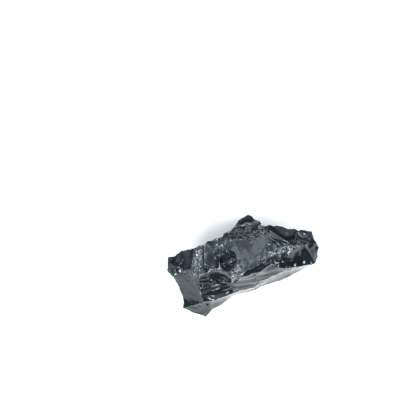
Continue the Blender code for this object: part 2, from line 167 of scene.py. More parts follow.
# Corners of the faces, in millimetres: x to the right end, y to the peak at the back, z up.
CORNERS = {
    # sharp rim, clockwise from the foot
    "foot": (-18.8, -26.3, 4.0),
    "foot_side": (-24.6, -24.4, 5.0),
    "foot_left": (-30.2, -21.8, 7.0),
    "left_notch": (-30.6, -15.0, 10.5),
    "left_low": (-33.6, -7.8, 15.0),
    "crest_left": (-34.8, -5.1, 17.8),
    "left_tip": (-38.2, -2.0, 18.5),
    "left_end": (-38.2, 2.0, 18.5),
    "left_far": (-37.5, 5.1, 19.0),
    "left_back": (-31.5, 7.9, 22.0),
    "notch_back": (-15.5, 13.6, 27.5),
    "rim_back": (-7.5, 17.9, 25.8),
    "peak_left": (-1.6, 24.1, 20.8),
    "peak": (3.0, 26.3, 19.2),
    "peak_right": (7.0, 23.8, 19.6),
    "corner_back": (9.6, 21.2, 19.0),
    "ledge_back": (23.5, 20.4, 19.5),
    "knob_back": (34.5, 17.6, 17.5),
    "knob_end": (38.2, 10.3, 16.0),
    "knob_low": (37.7, 5.3, 15.0),
    "knob_front": (36.6, 1.7, 10.5),
    "band_right": (22.5, -6.2, 7.0),
    "band_middle": (7.0, -12.2, 6.0),
    "band_left": (-3.6, -14.9, 5.5),
    "foot_right": (-11.5, -20.4, 5.0),
    # crest between the upper faces and the front
    "bevel_left": (-33.5, -0.8, 23.4),
    "crest_corner": (-21.8, -5.3, 26.0),
    "bevel_right": (-21.8, -1.2, 29.7),
    "crest_bend": (-13.5, -1.0, 32.0),
    "crest_turn": (-11.8, 2.3, 32.6),
    "scoop_right": (-6.0, -5.8, 28.5),
    "crest_fork": (-0.5, -2.8, 32.0),
    "crest_middle": (9.5, 2.8, 33.4),
    "crest_right": (16.5, 6.3, 33.0),
    "crest_far": (23.5, 8.8, 30.5),
    "crest_end": (30.0, 10.8, 25.0),
    # lower edge of the front faces
    "ridge_low": (-19.8, -18.3, 15.0),
    "ridge_bend": (-14.0, -17.3, 15.3),
    "ridge_middle": (-5.5, -13.9, 15.8),
    "ridge_right": (6.0, -10.6, 15.8),
    # ridges and hollows between them, from the left end to the right
    "cave_left": (-17.0, -5.0, 22.5),
    "cave_back": (-11.5, -1.9, 24.5),
    "cave_right": (-6.5, -5.5, 24.5),
    "cave_front": (-11.5, -7.8, 20.5),
    "lip_left": (0.0, -5.0, 29.8),
    "lip_right": (8.0, -2.5, 30.6),
    "band_top_left": (7.0, -8.0, 20.5),
    "band_top_middle": (18.5, -3.3, 21.5),
    "shelf_left": (13.5, 1.5, 31.0),
    "shelf_middle": (20.0, -0.8, 26.5),
    "shelf_right": (36.0, 1.3, 17.5),
    # upper faces
    "left_step_front": (-23.2, -1.0, 27.9),
    "left_step_back": (-23.6, 9.8, 25.3),
    "strip_back": (-22.0, 10.2, 26.9),
    "strip_front": (-19.7, -1.3, 30.0),
    "strip_top": (-19.5, 11.3, 27.3),
    "upper_front": (-19.0, -1.6, 31.4),
    "upper_back": (-18.7, 11.8, 28.7),
    "upper_right": (-11.0, 14.0, 29.3),
    "top_left": (-9.5, 3.0, 32.4),
    "top_back_left": (-10.0, 13.5, 29.5),
    "top_back": (1.0, 15.0, 31.0),
    "top_back_right": (13.0, 14.8, 31.0),
    "pit_left": (-11.4, 5.6, 29.8),
    "pit_front": (-7.0, 1.6, 27.3),
    "pit_right": (-3.8, 5.4, 29.8),
    "pit_back": (-8.0, 9.8, 31.6),
    "dent_left": (11.6, 9.6, 31.6),
    "dent_front": (14.4, 7.2, 31.6),
    "dent_right": (16.8, 9.8, 30.6),
    "dent_back": (14.0, 12.4, 30.6),
    "tip_left": (-3.6, 21.0, 23.2),
    "tip_right": (6.8, 21.6, 22.8),
    "step_far": (22.5, 12.6, 29.0),
    "ledge_inner": (22.5, 12.6, 22.0),
    "ledge_low": (14.5, 16.4, 21.2),
    "ledge_right": (25.8, 13.4, 21.8),
    "ledge_out": (26.4, 18.8, 19.0),
    "knob_top": (33.2, 8.9, 21.0),
    # ridge across the back, and the lower edge of its faces
    "waist_left": (-27.0, 6.5, 15.0),
    "waist_notch": (-13.0, 13.4, 17.0),
    "waist_peak": (0.5, 20.5, 12.0),
    "waist_right": (14.0, 19.8, 13.5),
    "waist_knob": (29.5, 15.2, 11.0),
    "back_low_left": (-26.0, 3.5, 9.0),
    "back_split": (-15.5, 10.6, 8.0),
    "back_low": (0.0, 17.0, 5.0),
    "back_low_right": (12.0, 18.0, 11.0),
    "back_low_far": (30.0, 11.0, 4.5),
    # flat underside that the chunk lies on
    "base_foot_left": (-25.0, -17.0, 0.0),
    "base_foot": (-15.0, -20.0, 0.0),
    "base_front": (5.0, -9.5, 0.0),
    "base_right_front": (24.0, -2.5, 0.0),
    "base_right": (28.5, 5.0, 0.0),
    "base_back_right": (22.0, 10.0, 0.0),
    "base_back": (4.0, 14.0, 0.0),
    "base_back_left": (-14.0, 8.5, 0.0),
    "base_left": (-27.5, -2.0, 0.0),
}


class Scar(NamedTuple):
    """Where one flake left the stone. Lengths are in millimetres."""

    name: str
    corners: str  # names of the corners around its face
    travel: tuple = (0, 0, -1)  # the way the crack ran
    hollow: tuple = (0.8, 0.8)  # depth between the corners, along the travel and across it
    rings: tuple = (5.0, 0.1)  # spacing of the rings around the blow, and their height
    step: float = LIP_SLOPE  # how steeply the scoop rises where the crack ended
    side: float = LIP_SLOPE  # how steeply it rises everywhere else
    round: bool = False  # a round hollow inside a larger face


SCARS = (
    # the front, from the left end to the right. The left face is flatter than the solid's.
    Scar("left_face", "crest_left crest_corner ridge_low foot_left left_notch left_low",
         (0, 0, -1), (0.0, 0.6), (5.0, 0.02)),
    Scar("foot_top", "ridge_low foot_left foot_side foot", (0.3, -1, 0), (0.5, 0.5), (4.0, 0.1)),
    Scar("front_scoop", "crest_corner crest_bend scoop_right ridge_middle ridge_bend ridge_low",
         (0.25, -1, -0.6), (2.8, 2.0), (3.2, 0.2)),
    Scar("cave", "cave_left cave_back cave_right cave_front", (0, 1, 0.3), (0.6, 0.6), (3.2, 0.1),
         4.5, 2.0, True),
    Scar("front_middle", "scoop_right lip_left lip_right band_top_left ridge_right ridge_middle",
         (0, 0, -1), (0.6, 0.6)),
    Scar("front_wedge", "lip_right shelf_left shelf_middle band_top_middle band_top_left",
         (0, 0, -1), (0.5, 0.4)),
    Scar("crest_lip", "crest_fork crest_middle shelf_left lip_right lip_left", (1, 0, 0), (0.4, 0.4)),
    Scar("front_right", "crest_middle crest_right crest_far crest_end shelf_right shelf_middle shelf_left",
         (1, 0, -0.3), (0.4, 1.0)),
    Scar("left_band", "ridge_low ridge_bend ridge_middle ridge_right band_middle band_left foot_right foot",
         (1, 0.5, 0), (0.6, 0.3)),
    Scar("right_band",
         "band_top_left band_top_middle shelf_right knob_front band_right band_middle ridge_right",
         (1, 0.4, 0), (0.3, 0.8)),
    # upper faces
    Scar("left_bevel", "crest_left crest_corner bevel_right bevel_left", (1, 0, 0), (0.3, 0.2)),
    Scar("left_top", "bevel_left left_step_front left_step_back left_back left_far",
         (1, 0, 0.3), (0.9, 0.7), (4.5, 0.1), STEP_SLOPE),
    Scar("strip", "bevel_right strip_front strip_top strip_back", (1, 0, 0), (0.3, 0.2), (5.0, 0.0),
         STEP_SLOPE),
    Scar("upper_left", "upper_front crest_bend crest_turn upper_right notch_back upper_back",
         (1, 0.2, 0), (0.5, 0.5)),
    Scar("top_face", "crest_fork crest_right top_back_right top_back top_back_left top_left",
         (-1, -0.6, 0), (0.6, 0.7), (5.0, 0.03)),
    Scar("pit", "pit_left pit_front pit_right pit_back", (0.2, -1, 0), (0.3, 0.3), (5.0, 0.0),
         4.5, 4.0, True),
    Scar("dent", "dent_left dent_front dent_right dent_back", (1, -0.3, 0), (0.3, 0.3), (5.0, 0.0),
         2.0, 1.5, True),
    Scar("peak_face", "top_back_left top_back_right tip_right tip_left rim_back",
         (0, 1, 0), (0.8, 0.6), (3.4, 0.15)),
    Scar("peak_tip", "tip_left tip_right peak_right peak peak_left", (0, 1, 0), (0.4, 0.4), (3.4, 0.1)),
    Scar("ledge", "corner_back ledge_low ledge_inner ledge_right ledge_out ledge_back", (-0.56, -0.83, 0),
         (0.6, 0.8), (4.0, 0.12), 5.0),
    Scar("knob_top", "crest_end knob_top knob_end knob_back ledge_out ledge_right", (1, 0, 0), (0.3, 0.3)),
    Scar("knob_side", "crest_end knob_top knob_end knob_low shelf_right", (0, -1, 0), (0.2, 0.2)),
)

# The back and the underside. The exact solver fails on the slivers that these leave, so the manifold
# solver cuts them and the chips.
BACK_SCARS = (
    # the back, from the left end to the right
    Scar("back_left", "left_back notch_back waist_notch waist_left", (1, 0.3, 0), (0.9, 0.7)),
    Scar("back_left_low", "waist_left waist_notch back_split back_low_left", (0.4, 0, -1), (0.6, 0.6)),
    Scar("back_centre", "notch_back rim_back peak_left waist_peak waist_notch", (-0.4, 0, -1), (1.3, 1.0)),
    Scar("back_centre_low", "waist_notch waist_peak back_low back_split", (1, 0, -0.4), (0.7, 0.8)),
    Scar("back_middle", "peak_left peak corner_back back_low_right waist_peak", (0, 0, -1), (0.8, 0.5)),
    Scar("back_middle_low", "waist_peak back_low_right back_low", (0.3, 0, -1), (0.5, 0.5)),
    Scar("back_right", "corner_back ledge_back ledge_out knob_back waist_knob waist_right back_low_right",
         (1, 0, -0.2), (0.4, 0.8)),
    Scar("back_right_low", "waist_right waist_knob back_low_far back_low_right", (1, 0, -0.4), (0.7, 0.6)),
    # underneath, from the left end to the right
    Scar("left_side", "foot_left left_notch left_low base_left base_foot_left", (0, -1, 0), (1.6, 1.0)),
    Scar("left_under", "left_low crest_left left_tip left_end back_low_left base_left",
         (0.1, 1, -0.3), (0.8, 0.8)),
    Scar("left_back", "left_end left_far left_back back_low_left", (0, 1, -0.4), (0.4, 0.4)),
    Scar("under_back_left", "back_low_left back_split back_low base_back base_back_left base_left",
         (-1, 0, 0), (0.8, 1.2)),
    Scar("under_back", "back_low back_low_right back_low_far base_back_right base_back",
         (0, 0, -1), (1.2, 0.6)),
    Scar("under_right", "knob_back knob_end knob_low knob_front base_right base_back_right back_low_far",
         (0, -1, 0), (1.0, 1.0)),
    Scar("under_front", "knob_front band_right band_middle base_front base_right_front base_right",
         (1, 0.4, 0), (0.8, 0.8)),
    Scar("under_foot", "band_middle band_left foot_right foot base_foot base_front",
         (1, 0.7, 0), (1.8, 0.5)),
    Scar("under_left", "foot foot_side foot_left base_foot_left base_foot", (1, -0.4, 0), (0.5, 0.3)),
)


class Chip(NamedTuple):
    """A small hollow flake off an edge. Lengths are in millimetres."""

    edge: str  # names of the two corners that the edge runs between
    share: float  # how far along it the chip is
    radius: float
    depth: float


CHIPS = (
    # along the crest, beside the peak, and along the ridges of the front
    Chip("crest_left crest_corner", 0.3, 9.0, 0.4),
    Chip("peak_right peak", 0.1, 4.0, 1.1),
    Chip("crest_corner crest_bend", 0.5, 8.0, 0.4),
    Chip("crest_fork crest_middle", 0.35, 8.0, 0.5),
    Chip("crest_middle crest_right", 0.7, 7.0, 0.5),
    Chip("crest_far crest_end", 0.3, 7.0, 0.5),
    Chip("ridge_low ridge_bend", 0.5, 9.0, 0.3),
    Chip("ridge_middle ridge_right", 0.4, 9.0, 0.3),
    Chip("shelf_left shelf_middle", 0.3, 12.0, 0.4),
    # along the crumbled band behind the crest
    Chip("crest_end ledge_right", 0.5, 5.0, 0.5),
    Chip("crest_far step_far", 0.5, 5.0, 0.5),
    Chip("crest_right step_far", 0.5, 7.0, 0.5),
    # along the sharp rim
    Chip("foot_side foot_left", 0.5, 9.0, 0.5),
    Chip("left_tip left_end", 0.4, 8.0, 0.4),
    Chip("left_far left_back", 0.6, 9.0, 0.4),
    Chip("ledge_back corner_back", 0.4, 9.0, 0.4),
    Chip("knob_back knob_end", 0.5, 9.0, 0.4),
    Chip("knob_front band_right", 0.35, 12.0, 0.4),
    Chip("foot_right band_left", 0.5, 12.0, 0.4),
    # along the ridge and the lower edges of the back
    Chip("waist_notch waist_peak", 0.4, 11.0, 0.7),
    Chip("waist_right waist_knob", 0.4, 11.0, 0.6),
    Chip("back_low back_low_right", 0.5, 12.0, 0.8),
    Chip("back_low_left base_left", 0.5, 10.0, 0.8),
    Chip("back_low_far base_right", 0.5, 10.0, 0.7),
)


class Ripple(NamedTuple):
    """A patch of close ripples on a scar. Lengths are in millimetres."""

    scar: str
    centre: tuple  # where they are highest
    heart: tuple  # the point that they run around
    reach: float
    spacing: float
    height: float


RIPPLES = (
    Ripple("front_scoop", (-17.0, -10.5, 18.0), (-17.0, 0.0, 28.0), 4.5, 1.5, 0.11),
)


class Nibble(NamedTuple):
    """One size of the lumps knocked off the ridges. Lengths are in millimetres."""

    radius: float
    depth: float  # as a share of the radius
    share: float  # of the spots along the ridges
    spread: float  # how far apart they are kept, in radii


NIBBLES = (
    Nibble(3.6, 0.05, 0.25, 1.0),
    Nibble(2.2, 0.09, 0.45, 0.8),
    Nibble(1.4, 0.11, 0.5, 0.7),
)


class Crumble(NamedTuple):
    """A patch where the glass broke up into small angular facets. Lengths are in millimetres."""

    centre: tuple  # its middle, as seen from above
    size: tuple  # its half length and half width
    heading: float  # the way its length runs, in degrees from the x axis
    lumps: int
    radius: float
    depth: float  # as a share of the radius
    crushed_and_sparkle: float  # how pale its specks are: ground glass with painted sparkles


CRUMBLES = (
    Crumble((-5.0, 17.5), (5.0, 4.0), 40.0, 60, 2.6, 0.12, 0.25),
    Crumble((4.0, 18.0), (6.0, 3.0), 0.0, 60, 2.6, 0.12, 0.25),
    Crumble((-23.0, 3.0), (7.0, 1.8), 80.0, 130, 2.0, 0.12, 1.4),
    Crumble((-31.0, 2.5), (3.0, 2.0), 0.0, 6, 1.8, 0.1, 0.1),
    Crumble((-12.0, 10.5), (4.0, 3.0), 60.0, 40, 2.2, 0.12, 0.25),
    Crumble((-7.6, 5.5), (4.0, 4.5), 60.0, 16, 2.4, 0.1, 0.0),
    Crumble((-3.8, -2.2), (4.5, 3.0), 90.0, 60, 2.2, 0.13, 0.7),
    Crumble((20.0, 9.0), (12.0, 1.3), 21.0, 120, 2.0, 0.12, 0.9),
)


class WornAndLitEdge(NamedTuple):
    """An edge that is pale along its whole length: ground glass with a painted highlight line."""

    edge: str  # names of the two corners that it runs between
    white: float  # how much whiter it is than the other ridges


WORN_AND_LIT_EDGES = (
    WornAndLitEdge("crest_left crest_corner", 0.6),
    WornAndLitEdge("crest_corner crest_bend", 0.9),
    WornAndLitEdge("crest_bend crest_turn", 0.9),
    WornAndLitEdge("crest_fork crest_middle", 0.5),
    WornAndLitEdge("upper_front upper_back", 0.7),
    WornAndLitEdge("left_back notch_back", 0.5),
    WornAndLitEdge("notch_back rim_back", 0.5),
    WornAndLitEdge("rim_back peak_left", 0.5),
    WornAndLitEdge("peak_left peak", 0.5),
    WornAndLitEdge("peak peak_right", 0.4),
)


def colour(code):
    """A linear colour from its sRGB hex code."""
    shares = [int(code[i:i + 2], 16) / 255 for i in (1, 3, 5)]
    return (*[s / 12.92 if s <= 0.04045 else ((s + 0.055) / 1.055) ** 2.4 for s in shares], 1.0)


def add(owner, kind, settings=None, links=None):
    """A node of that kind, with its settings and what feeds it. A number is a socket's place."""
    tree = owner.node_tree
    node = tree.nodes.new(kind)
    for name, value in (settings or {}).items():
        if isinstance(name, int) or name in node.inputs:
            node.inputs[name].default_value = value
        else:
            setattr(node, name, value)
    for name, source in (links or {}).items():
        tree.links.new(source, node.inputs[name])
    return node


def link(name, bm):
    """A mesh object in the scene, made from bm."""
    mesh = bpy.data.meshes.new(name)
    bm.to_mesh(mesh)
    bm.free()
    thing = bpy.data.objects.new(name, mesh)
    bpy.context.scene.collection.objects.link(thing)
    return thing


def make_block(name):
    """The block that the flakes are struck from: the convex hull of the corners."""
    bm = bmesh.new()
    for corner in CORNERS.values():
        bm.verts.new(Vector(corner) * MM)
    hull = bmesh.ops.convex_hull(bm, input=bm.verts)
    spare = [v for v in hull["geom_interior"] if isinstance(v, bmesh.types.BMVert)]
    bmesh.ops.delete(bm, geom=spare, context="VERTS")
    bmesh.ops.recalc_face_normals(bm, faces=bm.faces)
    return link(name, bm)


def outward_normal(points):
    """Normal of the plane that fits a ring of points, pointing away from the middle of the stone."""
    normal = Vector()
    for here, after in zip(points, points[1:] + points[:1]):
        normal += here.cross(after)
    normal.normalize()
    centre = sum(points, Vector()) / len(points)
    return normal if normal.dot(centre - Vector(MIDDLE)) > 0 else -normal


class Scoop:
    """The surface of one scar in its own frame: x along the crack's travel, z out of the stone."""

    def __init__(self, scar):
        self.scar = scar
        points = [Vector(CORNERS[name]) for name in scar.corners.split()]
        centre = sum(points, Vector()) / len(points)
        out = outward_normal(points)
        along = Vector(scar.travel)
        along = (along - out * along.dot(out)).normalized()
        across = out.cross(along)
        lengths = [(p - centre).dot(along) for p in points]
        widths = [(p - centre).dot(across) for p in points]
        centre += along * (max(lengths) + min(lengths)) / 2 + across * (max(widths) + min(widths)) / 2
        self.half_length = (max(lengths) - min(lengths)) / 2
        self.half_width = (max(widths) - min(widths)) / 2
        turn = Matrix((along, across, out)).transposed().to_4x4()
        self.frame = Matrix.Translation(centre * MM) @ turn
        inward = turn.to_3x3().transposed()
        corners = [inward @ (p - centre) for p in points]
        self.misses = [(c.x, c.y, c.z - self.bowl(c.x, c.y)) for c in corners]
        self.ripples = [(inward @ (Vector(r.centre) - centre), inward @ (Vector(r.heart) - centre), r)
                        for r in RIPPLES if r.scar == scar.name]

    def bowl(self, x, y):
        """Depth of a plain bowl at x, y."""
        along, across = self.scar.hollow
        return along * ((x / self.half_length) ** 2 - 1) + across * ((y / self.half_width) ** 2 - 1)

    def warp(self, x, y):
        """What the bowl is bent by, so that it passes through every corner of its face."""
        total = 0.0
        bend = 0.0
        for corner_x, corner_y, miss in self.misses:
            weight = 1.0 / ((x - corner_x) ** 2 + (y - corner_y) ** 2 + CORNER_REACH ** 2)
            total += weight
            bend += weight * miss
        return bend / total

    def rings(self, x, y):
        """Rings around the blow, and the slow waves of the fracture."""
        spacing, height = self.scar.rings
        from_blow = math.hypot(x + self.half_length * BLOW_DISTANCE, y)
        wobble = noise.noise(Vector((x, y, self.half_width)) / RING_WOBBLE_SIZE)
        rings = height * math.sin(2 * math.pi * (from_blow / spacing + wobble * RING_WOBBLE))
        for place, heart, ripple in self.ripples:
            fade = math.exp(-((x - place.x) ** 2 + (y - place.y) ** 2) / ripple.reach ** 2)
            away = math.hypot(x - heart.x, y - heart.y)
            rings += ripple.height * fade * math.sin(2 * math.pi * (away / ripple.spacing + wobble))
        return rings + WAVES * noise.noise(Vector((x, y, self.half_length)) / WAVE_SIZE)

    def grain(self, x, y):
        """Fine ribs that fan out from the blow, and the fine unevenness of the fracture."""
        from_blow = math.hypot(x + self.half_length * BLOW_DISTANCE, y)
        round_blow = math.atan2(y, x + self.half_length * BLOW_DISTANCE) * self.half_length * 2
        ribs = noise.noise(Vector((from_blow / RIB_LENGTH, round_blow / RIB_WIDTH, self.half_width)))
        specks = noise.noise(Vector((x, y, self.half_width)) / GRAIN_SIZE)
        return RIB_HEIGHT * ribs + GRAIN * specks

    def lip(self, x, y):
        """How far the scoop has risen outside its face."""
        step, side = self.scar.step, self.scar.side
        if self.scar.round:
            share = math.hypot(x / self.half_length, y / self.half_width)
            past = max(0.0, share - 1.0) * min(self.half_length, self.half_width)
            towards_end = max(0.0, x / self.half_length) / max(share, 1.0)
            return past * (side + (step - side) * towards_end)
        past_end = max(0.0, x - self.half_length) * step
        past_start = max(0.0, -self.half_length - x) * side
        past_side = max(0.0, abs(y) - self.half_width) * side
        return math.hypot(past_end + past_start, past_side)

    def height(self, x, y):
        """How high the scoop's surface is, measured out of the stone."""
        shape = self.bowl(x, y) + self.warp(x, y) + self.lip(x, y) - BITE
        return shape + self.rings(x, y) + self.grain(x, y)


def make_cutter(scar):
    """A closed solid whose floor is the scar and whose lid is clear of the stone."""
    scoop = Scoop(scar)
    reach, spread = scoop.half_length + MARGIN, scoop.half_width + MARGIN
    cell = BACK_CELL if scar in BACK_SCARS else GRID_CELL
    bm = bmesh.new()
    columns = round(2 * reach / cell)
    rows = round(2 * spread / cell)
    bmesh.ops.create_grid(bm, x_segments=columns, y_segments=rows, size=1.0)
    for v in bm.verts:
        x, y = v.co.x * reach, v.co.y * spread
        v.co = Vector((x, y, scoop.height(x, y))) * MM
    rim = [e for e in bm.edges if e.is_boundary]
    walls = bmesh.ops.extrude_edge_only(bm, edges=rim)
    for v in walls["geom"]:
        if isinstance(v, bmesh.types.BMVert):
            v.co.z = LID_HEIGHT * MM
    bmesh.ops.holes_fill(bm, edges=[e for e in bm.edges if e.is_boundary])
    bmesh.ops.recalc_face_normals(bm, faces=bm.faces)
    bmesh.ops.transform(bm, matrix=scoop.frame, verts=bm.verts)
    return link("scar_" + scar.name, bm)


def make_chip(number, chip):
    """A rough ball that bites into an edge from outside."""
    start, end = (Vector(CORNERS[name]) for name in chip.edge.split())
    place = start.lerp(end, chip.share)
    along = (end - start).normalized()
    out = place - Vector(MIDDLE)
    out = (out - along * out.dot(along)).normalized()
    centre = place + out * (chip.radius - chip.depth)
    bm = bmesh.new()
    bmesh.ops.create_icosphere(bm, subdivisions=CHIP_FINENESS, radius=chip.radius)
    for v in bm.verts:
        waves = CHIP_WAVES * noise.noise(v.co / CHIP_WAVE_SIZE + place)
        waves += CHIP_GRAIN * noise.noise(v.co / GRAIN_SIZE + place)
        v.co = (centre + v.co * (1 + waves)) * MM
    return link(f"chip_{number}", bm)


def strike(block, cutters):
    """Takes the flakes off the block, and then the cutters out of the scene."""
    for cutter in cutters:
        cut = block.modifiers.new(cutter.name, "BOOLEAN")
        cut.operation = "DIFFERENCE"
        cut.solver = "MANIFOLD"
        cut.object = cutter
    bm = bmesh.new()
    bm.from_object(block, bpy.context.evaluated_depsgraph_get())
    block.modifiers.clear()
    bm.to_mesh(block.data)
    bm.free()
    for cutter in cutters:
        bpy.data.objects.remove(cutter)


def ridge_spots(block):
    """Places along the convex ridges, each with the directions that its two faces look in."""
    bm = bmesh.new()
    bm.from_mesh(block.data)
    bm.normal_update()
    spots = []
    for e in bm.edges:
        if not e.is_manifold or not e.is_convex or e.calc_face_angle() < math.radians(KNOCKED_ANGLE):
            continue
        start, end = (v.co / MM for v in e.verts)
        steps = max(1, round((end - start).length / RIDGE_STEP))
        looks = [f.normal.copy() for f in e.link_faces]
        heading = math.atan2(end.y - start.y, end.x - start.x)
        spots += [(start.lerp(end, (step + 0.5) / steps), looks, heading) for step in range(steps)]
    bm.free()
    return spots


class Lump:
    """A splintery lump of glass that comes off where it touches the stone. Lengths are in millimetres."""

    def __init__(self, rng, place, out, radius, depth, heading):
        bm = bmesh.new()
        bmesh.ops.create_icosphere(bm, subdivisions=LUMP_FINENESS, radius=radius)
        lean = Euler([rng.uniform(-LUMP_TURN, LUMP_TURN) for _ in range(3)])
        turn = Matrix.Rotation(heading, 3, "Z") @ lean.to_matrix()
        stretch = Matrix.Diagonal((1.0, rng.uniform(*LUMP_SQUEEZE), rng.uniform(*LUMP_SQUEEZE)))
        for v in bm.verts:
            shake = Vector([rng.uniform(-1.0, 1.0) for _ in range(3)]) * radius * LUMP_SHAKE
            v.co = turn @ (stretch @ v.co + shake)
        lowest = min(v.co.dot(out) for v in bm.verts)
        self.centre = place - out * (lowest + depth)
        self.radius = max(v.co.length for v in bm.verts)
        bmesh.ops.scale(bm, verts=bm.verts, vec=(MM, MM, MM))
        bmesh.ops.translate(bm, verts=bm.verts, vec=self.centre * MM)
        self.mesh = bpy.data.meshes.new("lump")
        bm.to_mesh(self.mesh)
        bm.free()

    def clear_of(self, other):
        """Whether the two lumps can't touch."""
        return (self.centre - other.centre).length > self.radius + other.radius


def gouge(block, lumps):
    """Takes lumps off, in layers in which no two lumps touch."""
    layers = []
    for lump in lumps:
        for layer in layers:
            if all(lump.clear_of(other) for other in layer):
                layer.append(lump)
                break
        else:
            layers.append([lump])
    cutters = []
    for number, layer in enumerate(layers):
        bm = bmesh.new()
        for lump in layer:
            bm.from_mesh(lump.mesh)
            bpy.data.meshes.remove(lump.mesh)
        cutters.append(link(f"lumps_{number}", bm))
    strike(block, cutters)


def ridge_lumps(ridges, rng, nibble):
    """Lumps along the ridges, where the glass was knocked by other stones."""
    taken = []
    lumps = []
    for place, looks, heading in rng.sample(ridges, len(ridges)):
        radius = nibble.radius * rng.uniform(*NIBBLE_SIZES)
        out = looks[0].lerp(looks[1], rng.uniform(*NIBBLE_LEAN))
        skew = Vector([rng.uniform(-NIBBLE_SKEW, NIBBLE_SKEW) for _ in range(3)])
        depth = radius * nibble.depth * rng.uniform(*NIBBLE_DEPTHS)
        near = nibble.spread * radius
        sound = any((place - Vector(CORNERS[name])).length < SOUND_REACH for name in SOUND_CORNERS)
        if sound or place.z < KNOCK_FROM or noise.noise(place / KNOCK_STRETCH) < KNOCK_LEVEL:
            continue
        if rng.random() < nibble.share and all((place - other).length > near for other in taken):
            taken.append(place)
            lumps.append(Lump(rng, place, (out + skew).normalized(), radius, depth, heading))
    return lumps


def crumb_lumps(block, rng):
    """Lumps all over the crumbled patches, as seen from above."""
    bm = bmesh.new()
    bm.from_mesh(block.data)
    tree = BVHTree.FromBMesh(bm)
    bm.free()
    lumps = []
    for patch in CRUMBLES:
        heading = math.radians(patch.heading)
        turn = Matrix.Rotation(heading, 3, "Z")
        for _ in range(patch.lumps):
            away = turn @ Vector((*[rng.gauss(0, CRUMBLE_SPREAD) * size for size in patch.size], 0))
            radius = patch.radius * rng.uniform(*NIBBLE_SIZES)
            depth = radius * patch.depth * rng.uniform(*NIBBLE_DEPTHS)
            above = Vector((patch.centre[0] + away.x, patch.centre[1] + away.y, ABOVE)) * MM
            place, normal = tree.ray_cast(above, Vector((0, 0, -1)))[:2]
            if place is not None:
                skew = Vector([rng.uniform(-NIBBLE_SKEW, NIBBLE_SKEW) for _ in range(3)])
                lumps.append(Lump(rng, place / MM, (normal + skew).normalized(), radius, depth, heading))
    return lumps


def fit_to_box(bm):
    """Fits the chunk into the box of its CAD solid, standing on the same plane."""
    low = Vector([min(v.co[axis] for v in bm.verts) for axis in range(3)])
    high = Vector([max(v.co[axis] for v in bm.verts) for axis in range(3)])
    middle = (low + high) / 2
    middle.z = low.z
    scale = min((CAD_HIGH[axis] - CAD_LOW[axis]) / (high[axis] - low[axis]) for axis in range(3))
    bmesh.ops.translate(bm, verts=bm.verts, vec=-middle)
    bmesh.ops.scale(bm, verts=bm.verts, vec=(scale * BOX_SHARE,) * 3)
    target = (CAD_LOW + CAD_HIGH) / 2
    target.z = CAD_LOW.z
    bmesh.ops.translate(bm, verts=bm.verts, vec=target)


def largest_body(bm):
    """Deletes every loose splinter, so that only the chunk itself is left."""
    bodies = []
    unseen = set(bm.verts)
    while unseen:
        body = set()
        front = [unseen.pop()]
        while front:
            v = front.pop()
            body.add(v)
            near = {e.other_vert(v) for e in v.link_edges} & unseen
            unseen -= near
            front.extend(near)
        bodies.append(body)
    bodies.sort(key=len)
    splinters = [v for body in bodies[:-1] for v in body]
    bmesh.ops.delete(bm, geom=splinters, context="VERTS")


def ridge_white(v):
    """How pale v is on sharp ridges only: ground glass with a painted highlight line."""
    angles = [e.calc_face_angle() for e in v.link_edges if e.is_manifold and e.is_convex]
    sharp = (math.degrees(max(angles, default=0.0)) - RIDGE_ANGLE) / (FULL_RIDGE_ANGLE - RIDGE_ANGLE)
    place = v.co / MM
    worn_and_lit = 0.0
    for worn_lit_edge in WORN_AND_LIT_EDGES:
        start, end = (Vector(CORNERS[name]) for name in worn_lit_edge.edge.split())
        share = intersect_point_line(place, start, end)[1]
        away = (place - start.lerp(end, max(0.0, min(1.0, share)))).length
        worn_and_lit = max(worn_and_lit, worn_lit_edge.white * math.exp(-(away / WORN_AND_LIT_REACH) ** 2))
    patchy = PATCH_LEVEL + noise.noise(place / PATCH_SIZE) + worn_and_lit
    longest = max([e.calc_length() / MM for e in v.link_edges], default=1.0)
    fine = min(1.0, FINE_EDGE / longest) ** 2
    return max(0.0, min(1.0, sharp)) * max(0.0, min(1.0, patchy)) * fine


def patch_white(v, turns):
    """How pale v is in the crumbled patches where it faces up: ground glass with painted sparkles."""
    white = 0.0
    for patch, turn in zip(CRUMBLES, turns):
        away = turn @ (v.co / MM - Vector((*patch.centre, 0)))
        far = math.hypot(away.x / patch.size[0], away.y / patch.size[1])
        white = max(white, patch.crushed_and_sparkle * math.exp(-far ** 2) * max(0.0, v.normal.z) ** 2)
    return white


def settle(block):
    """Makes the chunk final, and notes its pale ground glass with painted glints, and where it is thin."""
    bm = bmesh.new()
    bm.from_mesh(block.data)
    largest_body(bm)
    fit_to_box(bm)
    bm.normal_update()
    ridge = bm.verts.layers.float.new("ridge")
    thin = bm.verts.layers.float.new("thin")
    crushed_and_sparkle = bm.verts.layers.float.new("crushed_and_sparkle")
    turns = [Matrix.Rotation(-math.radians(patch.heading), 3, "Z") for patch in CRUMBLES]
    tree = BVHTree.FromBMesh(bm)
    for v in bm.verts:
        # Pale ground glass with painted glints on ridges and patches, and thinness for painted light
        # through it
        v[ridge] = ridge_white(v)
        v[crushed_and_sparkle] = patch_white(v, turns)
        depth = tree.ray_cast(v.co - v.normal * MM * THIN_START, -v.normal)[3] or 0.0
        v[thin] = math.exp(-depth / MM / THIN)
    bm.to_mesh(block.data)
    bm.free()
    block.data.shade_smooth()
    block.data.set_sharp_from_angle(angle=math.radians(SHARP_ANGLE))


